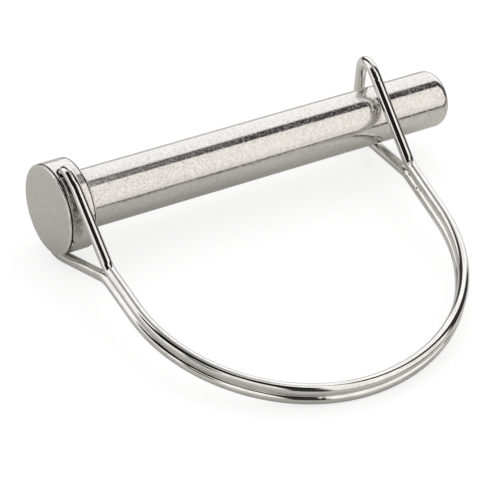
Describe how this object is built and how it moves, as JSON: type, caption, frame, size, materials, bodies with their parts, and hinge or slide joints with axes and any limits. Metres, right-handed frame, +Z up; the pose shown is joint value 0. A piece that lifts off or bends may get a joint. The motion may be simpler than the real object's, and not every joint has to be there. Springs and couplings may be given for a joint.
{
  "type": "lynch pin",
  "caption": "Headed round lock pin with a D-shaped spring wire bail that pivots in the head and snaps over the pin's tip.",
  "frame": {"origin": "on the pin's axis at the underside of its head", "axes": "+X along the pin to its tip, +Z up as the part lies on a table; the bail reaches toward -Y and slopes down to its bow"},
  "size_m": [0.0741, 0.0608, 0.0189],
  "materials": {
    "plated_pin": "zinc-plated steel, satin, with fine lengthwise grain",
    "bright_wire": "bright plated spring wire, near mirror"
  },
  "bodies": {
    "pin": {"headed_pin": "plated_pin"},
    "bail": {"wire_bail": "bright_wire"}
  },
  "joints": [
    {"name": "bail_swing", "type": "hinge", "parent": "pin", "child": "bail", "pos_m": [-0.00287, 0, 0], "axis": [0, 0.1434, -0.9897], "range_deg": [0, 240], "deforming": ["wire_bail"]}
  ]
}
